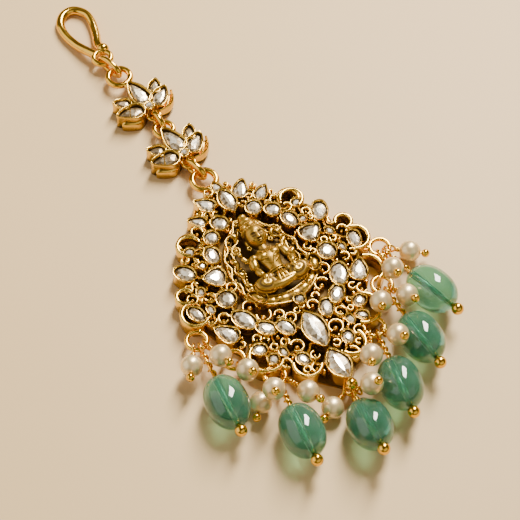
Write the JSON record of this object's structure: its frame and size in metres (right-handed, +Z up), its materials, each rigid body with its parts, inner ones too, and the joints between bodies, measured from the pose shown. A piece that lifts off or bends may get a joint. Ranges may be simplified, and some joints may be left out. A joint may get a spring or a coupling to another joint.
{
  "type": "maang tikka forehead jewel with hook, flower links, relief pendant, green bead and pearl drops",
  "caption": "Forehead jewel lying on its back: wire hook, flower links, stone-set pendant with a seated deity in relief, and a fringe of oval beads and pearls on pins.",
  "frame": {"origin": "middle of the bounding box in plan, on the surface that the jewel lies on", "axes": "+Y along the jewel from the bead fringe to the hook, +Z up from its flat back to the relief, +X across it"},
  "size_m": [0.0542, 0.126, 0.0111],
  "materials": {
    "antique_gold": "antique gold plate, bright on the rims and dark in the recesses",
    "bright_gold": "polished gold plate",
    "foiled_stone": "flat-cut clear stone with grey foil behind",
    "green_stone": "polished translucent jade-green stone",
    "pearl": "cream pearl lustre"
  },
  "bodies": {
    "root": {"hook": "bright_gold", "hook_link": "bright_gold", "middle_link": "bright_gold", "pendant_link": "bright_gold", "upper_flower": "antique_gold", "lower_flower": "antique_gold", "pendant_frame": "antique_gold", "upper_flower_stone": "foiled_stone", "lower_flower_stone": "foiled_stone", "top_marquise_stone": "foiled_stone", "main_marquise_stone": "foiled_stone", "tip_marquise_stone": "foiled_stone", "green_bead_1": "green_stone", "green_bead_2": "green_stone", "green_bead_3": "green_stone", "green_bead_4": "green_stone", "green_bead_5": "green_stone", "green_bead_6": "green_stone", "bead_pin_1": "bright_gold", "bead_pin_2": "bright_gold", "bead_pin_3": "bright_gold", "bead_pin_4": "bright_gold", "bead_pin_5": "bright_gold", "bead_pin_6": "bright_gold", "pearl_1": "pearl", "pearl_2": "pearl", "pearl_3": "pearl", "pearl_4": "pearl", "pearl_5": "pearl", "pearl_6": "pearl", "pearl_7": "pearl", "pearl_8": "pearl", "pearl_9": "pearl", "pearl_10": "pearl", "pearl_11": "pearl", "pearl_12": "pearl", "pearl_13": "pearl", "pearl_14": "pearl", "pearl_pin_1": "bright_gold", "pearl_pin_2": "bright_gold", "pearl_pin_3": "bright_gold", "pearl_pin_4": "bright_gold", "pearl_pin_5": "bright_gold", "pearl_pin_6": "bright_gold", "pearl_pin_7": "bright_gold", "pearl_pin_8": "bright_gold", "pearl_pin_9": "bright_gold", "pearl_pin_10": "bright_gold", "pearl_pin_11": "bright_gold", "pearl_pin_12": "bright_gold", "pearl_pin_13": "bright_gold", "pearl_pin_14": "bright_gold"}
  },
  "joints": []
}
